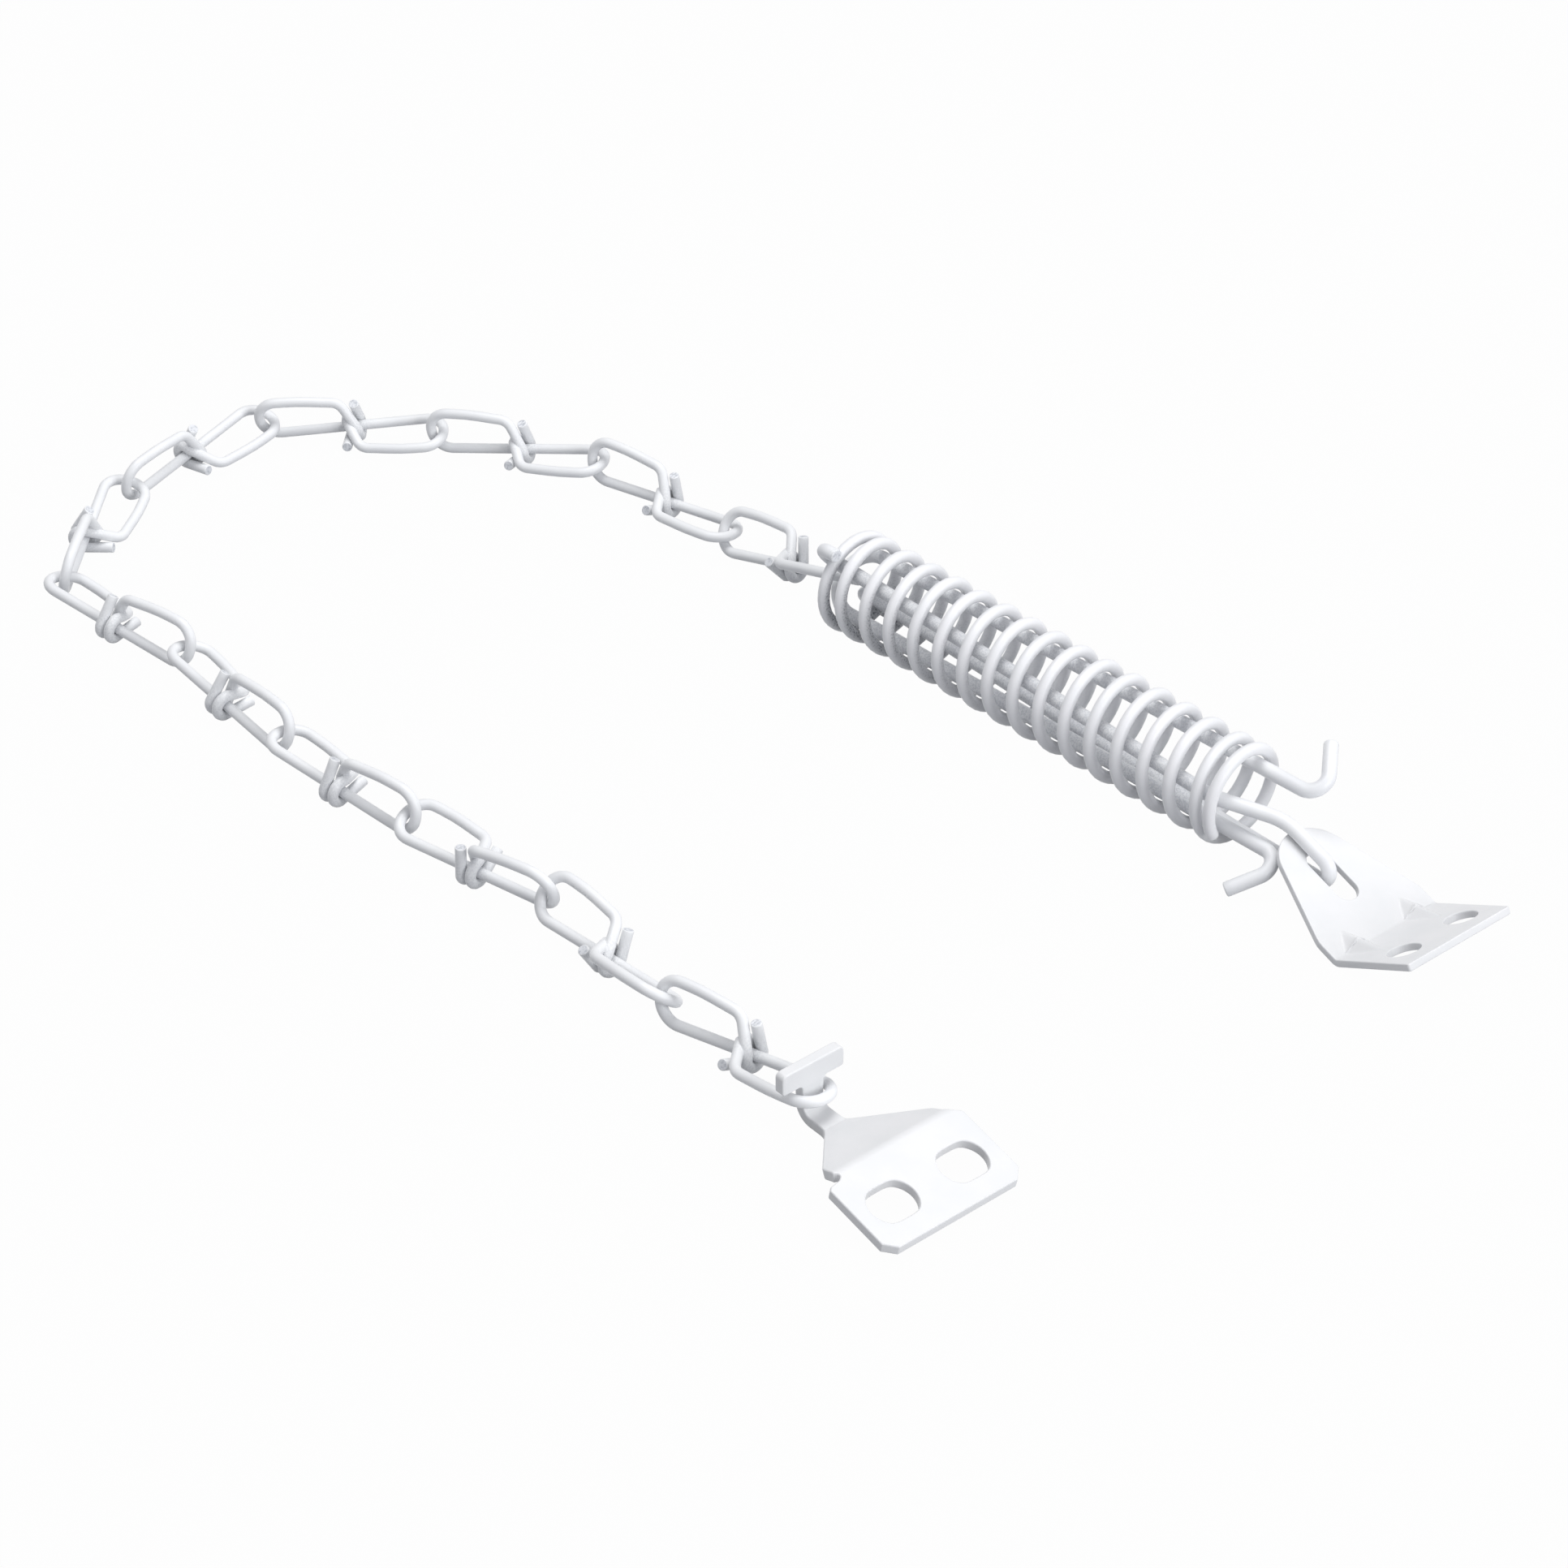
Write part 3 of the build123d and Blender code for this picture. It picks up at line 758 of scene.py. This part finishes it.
def jamb_outline():
    """rounded tip, taper to the shoulders, square flange with rounded corners"""
    half, middle = JAMB_WIDTH / 2, -(JAMB_PLATE - JAMB_TIP)
    run, rise = -JAMB_SHOULDER - middle, half
    # the taper runs from the shoulder and touches the tip's circle; lean is its angle to the middle line
    lean = math.atan2(rise, run) - math.asin(JAMB_TIP / math.hypot(run, rise))
    touch = math.pi / 2 + lean
    steps = 24
    tip = [(middle + JAMB_TIP * math.cos(touch + (2 * math.pi - 2 * touch) * i / steps),
            JAMB_TIP * math.sin(touch + (2 * math.pi - 2 * touch) * i / steps)) for i in range(steps + 1)]
    corners = tip + [(-JAMB_SHOULDER, -half), (JAMB_FLANGE, -half), (JAMB_FLANGE, half),
                     (-JAMB_SHOULDER, half)]
    return softened(corners, [0] * len(tip) + [JAMB_CORNER, FLANGE_CORNER, FLANGE_CORNER, JAMB_CORNER])


# the sheet is cut over its darts and bends, so that it can take their shape
bend_cuts = [side * bend_run(JAMB_BEND, turn)[0] * i / 3
             for side, turn in ((1, JAMB_FLANGE_RISE), (-1, JAMB_PLATE_RISE)) for i in (1, 2, 3)]
dart_cuts = [side * DARTS_APART / 2 + off for side in (-1, 1)
             for off in spread(-DART_HALF, DART_HALF, count=16)]
jamb_cuts = (spread(-DART_PLATE, 0, count=12) + spread(0, DART_FLANGE, count=18) + bend_cuts, dart_cuts)
jamb = pressed_sheet(
    "jamb_bracket_plate",
    [jamb_outline(), slot(-JAMB_SLOT_AT, 0, *JAMB_SLOT)]
    + [circle(JAMB_HOLE_AT, side * JAMB_HOLES_APART / 2, JAMB_HOLE / 2) for side in (-1, 1)],
    JAMB_SHEET, JAMB_EDGE, jamb_cuts, jamb_shape, sheet_coat)
fit(jamb, "jamb_bracket", "jamb_bracket")

# the door bracket's neck sits in the last link's end
last_wire = link_places[-1] @ Vector((LOOP_LENGTH, 0, LOOP_WIDTH / 2))
inside = link_places[-1] @ Vector((LOOP_LENGTH - NECK_WIRE_SEAT - NECK_BEND / 2, 0, LOOP_WIDTH / 2))
door_place = (Matrix.Translation((last_wire.x - NECK_WIRE_SEAT, inside.y, DOOR_SHEET / 2))
              @ Matrix.Rotation(math.radians(DOOR_HEADING), 4, "Z"))
curl_runs = [bend_run(NECK_BEND, 90), (NECK_POST + TEE_HEIGHT, 0)]
arm_runs = [(NECK_FLAT, 0), bend_run(DOOR_BEND, DOOR_ARM_RISE), (DOOR_ARM, 0),
            bend_run(DOOR_BEND, -DOOR_ARM_RISE - DOOR_BASE_FALL), (DOOR_BASE, 0)]
ARM_START = sum(length for length, _ in arm_runs[:2])
FOLD_START = ARM_START + DOOR_ARM
BASE_START = FOLD_START + arm_runs[3][0]
BASE_END = BASE_START + DOOR_BASE
CURL_END = curl_runs[0][0]


def door_shape(along, across, height):
    """along is above 0 towards the base and below 0 up the neck's curl"""
    x, z = folded(arm_runs if along > 0 else curl_runs, abs(along), height)
    return door_place @ Vector((x if along > 0 else -x, across, z))


def door_outline():
    """tee, neck, spreading arm, fold and chamfered base with a relief beside the fold"""
    tee_low, tee_top = -CURL_END - NECK_POST, -CURL_END - NECK_POST - TEE_HEIGHT
    half_neck, half_tee = NECK_WIDTH / 2, TEE_WIDTH / 2
    half_arm, half_base = ARM_WIDTH / 2, DOOR_WIDTH / 2
    neck = [(tee_top, half_tee, TEE_CORNER), (tee_low, half_tee, TEE_FOOT),
            (tee_low, half_neck, NECK_FILLET), (ARM_START - NECK_END, half_neck, ARM_FILLET),
            (FOLD_START - DOOR_SHOULDER, half_arm, SHOULDER_BEND)]
    rear = [(BASE_END - DOOR_CHAMFER, half_base, DOOR_CHAMFER_EASE),
            (BASE_END, half_base - DOOR_CHAMFER, DOOR_CHAMFER_EASE)]
    side_start = BASE_START + NOTCH_BACK
    relief = [(BASE_START - NOTCH_REACH, half_arm, 0), (BASE_START, half_arm - NOTCH_DEPTH, NOTCH_BOTTOM),
              (BASE_START + NOTCH_REACH, half_arm + NOTCH_LIP, 0),
              (side_start, half_base - NOTCH_CUT, NOTCH_CORNER),
              (side_start + NOTCH_CUT, half_base, NOTCH_CORNER)]
    plain = [(FOLD_START, half_arm + PLAIN_RISE, PLAIN_BEND),
             (BASE_START + PLAIN_RUN, half_base, PLAIN_CORNER)]
    corners = neck + plain + rear + [(x, -y, r) for x, y, r in (neck + relief + rear)[::-1]]
    return softened([(x, y) for x, y, _ in corners], [r for *_, r in corners])


door_cuts = (spread(-CURL_END, 0, count=12) + spread(NECK_FLAT, ARM_START, count=4)
             + spread(FOLD_START, BASE_START, count=6), [])
door = pressed_sheet(
    "door_bracket_plate",
    [door_outline()] + [flatted_hole(BASE_END - DOOR_SLOT_AT, side * DOOR_SLOTS_APART / 2, *DOOR_SLOT)
                        for side in (-1, 1)],
    DOOR_SHEET, DOOR_EDGE, door_cuts, door_shape, sheet_coat)
fit(door, "door_bracket", "door_bracket")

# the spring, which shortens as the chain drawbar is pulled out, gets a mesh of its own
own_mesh(spring)


# floor, world and lamps
def pale_floor(white_share):
    """a matt board, in metres, that shows this share of plain white to the camera and in reflections,
    so that the rest keeps a soft shadow"""
    material, tree = blank("matt_white_board")
    seen = add(tree, "LightPath")
    mirrored = add(tree, "Math", {0: seen.outputs["Is Camera Ray"], 1: seen.outputs["Is Glossy Ray"]},
                   operation="MAXIMUM")
    either = add(tree, "Math", {0: mirrored.outputs[0], 1: seen.outputs["Is Transmission Ray"]},
                 operation="MAXIMUM")
    place = add(tree, "TexCoord").outputs["Object"]
    grain = add(tree, "TexNoise", {"Vector": place, "Scale": 1 / (BOARD_GRAIN * MM)})
    tone = add(tree, "Mix", {"Factor": grain.outputs["Fac"], "A": linear("#94969A"),
                             "B": linear("#9A9CA0")}, data_type="RGBA")
    board = add(tree, "BsdfDiffuse", {"Color": tone.outputs["Result"]})
    glow = add(tree, "Emission", {"Color": linear("#FFFFFF"), "Strength": 1.0})
    white = add(tree, "Math", {0: either.outputs[0], 1: white_share}, operation="MULTIPLY")
    surface = add(tree, "MixShader", {0: white.outputs[0], 1: board.outputs[0], 2: glow.outputs[0]})
    add(tree, "OutputMaterial", {"Surface": surface.outputs[0]})
    mesh = bpy.data.meshes.new("floor")
    reach = 6.0
    mesh.from_pydata([(-reach, -reach, 0), (reach, -reach, 0), (reach, reach, 0), (-reach, reach, 0)], [],
                     [(0, 1, 2, 3)])
    mesh.materials.append(material)
    floor = bpy.data.objects.new("floor", mesh)
    scene.collection.objects.link(floor)


def pale_world(strength):
    """even light from all round, plain white where it is seen"""
    world = bpy.data.worlds.new("studio")
    world.use_nodes = True
    tree = world.node_tree
    tree.nodes.clear()
    seen = add(tree, "LightPath")
    either = add(tree, "Math", {0: seen.outputs["Is Camera Ray"], 1: seen.outputs["Is Transmission Ray"]},
                 operation="MAXIMUM")
    light = add(tree, "Background", {"Color": linear("#FAFBFF"), "Strength": strength})
    white = add(tree, "Background", {"Color": linear("#FFFFFF"), "Strength": 1.0})
    surface = add(tree, "MixShader", {0: either.outputs[0], 1: light.outputs[0], 2: white.outputs[0]})
    add(tree, "OutputWorld", {"Surface": surface.outputs[0]})
    scene.world = world


def softbox(name, place, size, watts, tint):
    """a rectangular lamp over the floor, placed in metres and turned to the middle of the part"""
    data = bpy.data.lights.new(name, "AREA")
    data.shape = "RECTANGLE"
    data.size, data.size_y = size
    data.energy = watts
    data.color = linear(tint)[:3]
    lamp = bpy.data.objects.new(name, data)
    scene.collection.objects.link(lamp)
    lamp.location = place
    lamp.rotation_mode = "QUATERNION"
    lamp.rotation_quaternion = (-Vector(place)).to_track_quat("-Z", "Y")


pale_floor(white_share=0.98)
pale_world(strength=0.47)
softbox("overhead_softbox", place=(-0.1, 0.1, 0.9), size=(0.6, 0.45), watts=4.3, tint="#FFFFFF")
softbox("right_softbox", place=(1.1, 0.1, 0.45), size=(0.8, 0.7), watts=7.0, tint="#FCFDFF")
